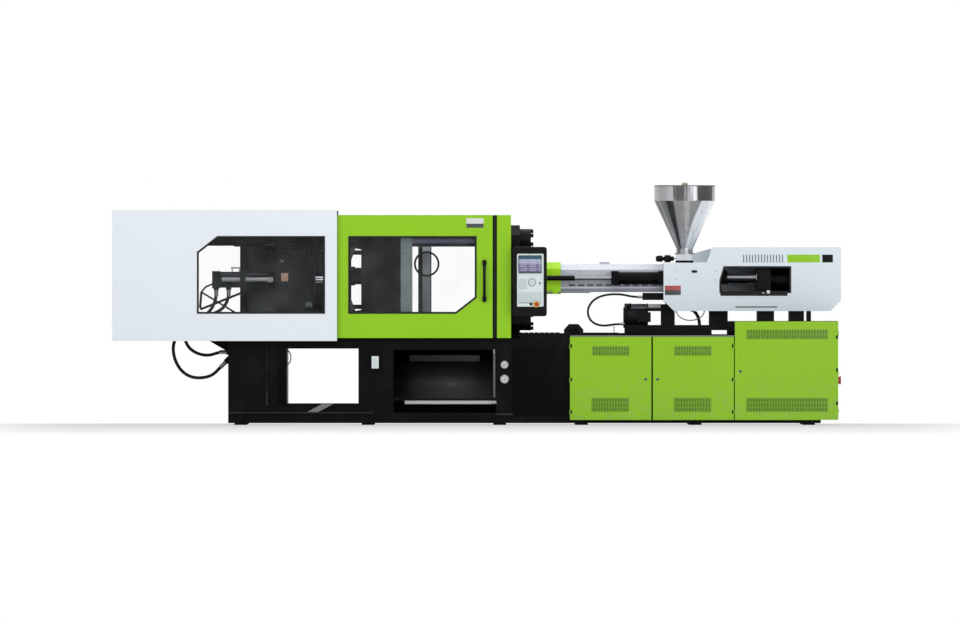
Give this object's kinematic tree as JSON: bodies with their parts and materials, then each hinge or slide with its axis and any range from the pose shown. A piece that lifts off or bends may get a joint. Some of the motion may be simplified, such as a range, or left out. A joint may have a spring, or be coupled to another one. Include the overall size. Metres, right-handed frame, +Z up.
{
  "type": "injection moulding machine",
  "caption": "Horizontal injection moulding machine: toggle clamp behind sliding gates, barrel with hopper, injection carriage and cabinets.",
  "frame": {"origin": "bottom centre of the machine's outline, on the floor", "axes": "+X from the clamp end to the injection end, +Y away from the operator, +Z up"},
  "size_m": [8.03, 1.944, 2.673],
  "materials": {
    "black_paint": "satin",
    "platen_black": "painted",
    "bare_steel": "satin",
    "chromed": "polished",
    "link_steel": "satin",
    "white_paint": "satin",
    "gate_green": "gloss",
    "cabinet_green": "gloss",
    "clear_pane": "clear",
    "black_plastic": "matte",
    "red_plastic": "gloss",
    "stainless": "polished",
    "rack_grey": "satin",
    "hose_rubber": "matte"
  },
  "bodies": {
    "base": {"base_frame": "black_paint", "injection_frame": "black_paint", "levelling_feet": "bare_steel", "base_fittings": "black_paint", "fixed_platen": "platen_black", "tie_bars": "chromed", "tie_bar_nuts": "platen_black", "guard_frame": "black_paint", "guard_front": "white_paint", "guard_rear": "white_paint", "guard_windows": "clear_pane", "post_covers": "gate_green", "panel_arm": "black_paint", "platen_rods": "chromed", "carriage_rails": "bare_steel", "cable_chain": "black_plastic", "cabinet_casing": "cabinet_green", "oil_tank": "black_paint", "pump_unit": "black_paint", "electrical_rack": "rack_grey", "clamp_hose_long": "hose_rubber", "clamp_hose_short": "hose_rubber"},
    "tail": {"tail_platen": "platen_black", "adjusting_nuts": "bare_steel", "clamp_cylinder": "black_paint"},
    "rear_link_upper": {"rear_link_upper": "link_steel"},
    "front_link_upper": {"front_link_upper": "link_steel"},
    "small_link_upper": {"small_link_upper": "link_steel"},
    "rear_link_lower": {"rear_link_lower": "link_steel"},
    "front_link_lower": {"front_link_lower": "link_steel"},
    "small_link_lower": {"small_link_lower": "link_steel"},
    "moving_platen": {"moving_platen": "platen_black"},
    "ejector": {"ejector_plate": "bare_steel"},
    "crosshead": {"crosshead": "link_steel", "clamp_piston": "chromed"},
    "front_gate": {"front_gate": "gate_green", "front_gate_window": "clear_pane", "front_gate_handle": "black_plastic"},
    "rear_gate": {"rear_gate": "gate_green", "rear_gate_window": "clear_pane"},
    "control_panel": {"control_panel": "black_plastic"},
    "estop_button": {"estop_button": "red_plastic"},
    "purge_guard": {"purge_guard": "gate_green"},
    "carriage": {"carriage": "black_paint", "barrel": "bare_steel", "barrel_cover": "stainless", "seat_cylinders": "black_paint", "injection_cylinders": "black_paint", "injection_housing": "white_paint", "hopper": "stainless", "finned_motor": "black_paint", "injection_hose": "hose_rubber"},
    "hopper_lid": {"hopper_lid": "stainless"},
    "hopper_shutter": {"hopper_shutter": "black_plastic"},
    "thrust_unit": {"thrust_unit": "black_paint"},
    "screw": {"screw": "chromed"},
    "cabinet_door_left": {"cabinet_door_left": "cabinet_green"},
    "cabinet_door_middle": {"cabinet_door_middle": "cabinet_green"},
    "cabinet_door_right": {"cabinet_door_right": "cabinet_green"},
    "main_switch": {"main_switch": "red_plastic"}
  },
  "joints": [
    {"name": "mould_height", "type": "slide", "parent": "base", "child": "tail", "axis": [-1, 0, 0], "range_m": [0, 0.28]},
    {"name": "clamp_toggle", "type": "hinge", "parent": "tail", "child": "rear_link_upper", "pos_m": [-1.64, 0, 2.03], "axis": [0, -1, 0], "range_deg": [0, 67]},
    {"name": "front_link_upper", "type": "hinge", "parent": "rear_link_upper", "child": "front_link_upper", "pos_m": [-1.51482, 0, 1.68607], "axis": [0, -1, 0], "range_deg": [-134, 0]},
    {"name": "small_link_upper", "type": "hinge", "parent": "rear_link_upper", "child": "small_link_upper", "pos_m": [-1.64, 0, 1.82], "axis": [0, -1, 0], "range_deg": [-134, 0]},
    {"name": "moving_platen", "type": "hinge", "parent": "front_link_upper", "child": "moving_platen", "pos_m": [-1.38964, 0, 2.03], "axis": [0, -1, 0], "range_deg": [0, 67]},
    {"name": "crosshead", "type": "hinge", "parent": "small_link_upper", "child": "crosshead", "pos_m": [-1.64, 0, 2.03], "axis": [0, -1, 0], "range_deg": [0, 67]},
    {"name": "rear_link_lower", "type": "hinge", "parent": "tail", "child": "rear_link_lower", "pos_m": [-1.64, 0, 1.17], "axis": [0, -1, 0], "range_deg": [-67, 0]},
    {"name": "front_link_lower", "type": "hinge", "parent": "rear_link_lower", "child": "front_link_lower", "pos_m": [-1.51482, 0, 1.51393], "axis": [0, -1, 0], "range_deg": [0, 134]},
    {"name": "small_link_lower", "type": "hinge", "parent": "rear_link_lower", "child": "small_link_lower", "pos_m": [-1.64, 0, 1.38], "axis": [0, -1, 0], "range_deg": [0, 134]},
    {"name": "ejector", "type": "slide", "parent": "moving_platen", "child": "ejector", "axis": [1, 0, 0], "range_m": [0, 0.15]},
    {"name": "front_gate", "type": "slide", "parent": "base", "child": "front_gate", "axis": [-1, 0, 0], "range_m": [0, 1.45]},
    {"name": "rear_gate", "type": "slide", "parent": "base", "child": "rear_gate", "axis": [-1, 0, 0], "range_m": [0, 1.45]},
    {"name": "control_panel", "type": "hinge", "parent": "base", "child": "control_panel", "pos_m": [0.394, -0.89, 1.6], "axis": [0, 0, -1], "range_deg": [0, 75]},
    {"name": "estop_button", "type": "slide", "parent": "control_panel", "child": "estop_button", "axis": [0, 1, 0], "range_m": [0, 0.006], "stiffness_N_per_m": 600},
    {"name": "purge_guard", "type": "slide", "parent": "base", "child": "purge_guard", "axis": [1, 0, 0], "range_m": [0, 0.3]},
    {"name": "carriage", "type": "slide", "parent": "base", "child": "carriage", "axis": [1, 0, 0], "range_m": [-0.1, 0.05]},
    {"name": "thrust_unit", "type": "slide", "parent": "carriage", "child": "thrust_unit", "axis": [1, 0, 0], "range_m": [0, 0.3]},
    {"name": "screw", "type": "hinge", "parent": "thrust_unit", "child": "screw", "pos_m": [3.08, 0, 1.6], "axis": [1, 0, 0], "continuous": true},
    {"name": "hopper_lid", "type": "hinge", "parent": "carriage", "child": "hopper_lid", "pos_m": [2.294, 0.349, 2.637], "axis": [-1, 0, 0], "range_deg": [0, 100]},
    {"name": "hopper_shutter", "type": "slide", "parent": "carriage", "child": "hopper_shutter", "axis": [-1, 0, 0], "range_m": [0, 0.12]},
    {"name": "cabinet_door_left", "type": "hinge", "parent": "base", "child": "cabinet_door_left", "pos_m": [1.023, -0.83, 0.5], "axis": [0, 0, -1], "range_deg": [0, 110]},
    {"name": "cabinet_door_middle", "type": "hinge", "parent": "base", "child": "cabinet_door_middle", "pos_m": [2.827, -0.83, 0.5], "axis": [0, 0, 1], "range_deg": [0, 90]},
    {"name": "cabinet_door_right", "type": "hinge", "parent": "base", "child": "cabinet_door_right", "pos_m": [3.975, -0.83, 0.6], "axis": [0, 0, 1], "range_deg": [0, 110]},
    {"name": "main_switch", "type": "hinge", "parent": "base", "child": "main_switch", "pos_m": [3.975, -0.4, 0.49], "axis": [1, 0, 0], "range_deg": [0, 90]}
  ],
  "couplings": [
    {"joint": "front_link_upper", "follows": "clamp_toggle", "ratio": -2},
    {"joint": "small_link_upper", "follows": "clamp_toggle", "ratio": -2},
    {"joint": "moving_platen", "follows": "clamp_toggle", "ratio": 1},
    {"joint": "crosshead", "follows": "clamp_toggle", "ratio": 1},
    {"joint": "rear_link_lower", "follows": "clamp_toggle", "ratio": -1},
    {"joint": "front_link_lower", "follows": "clamp_toggle", "ratio": 2},
    {"joint": "small_link_lower", "follows": "clamp_toggle", "ratio": 2}
  ]
}
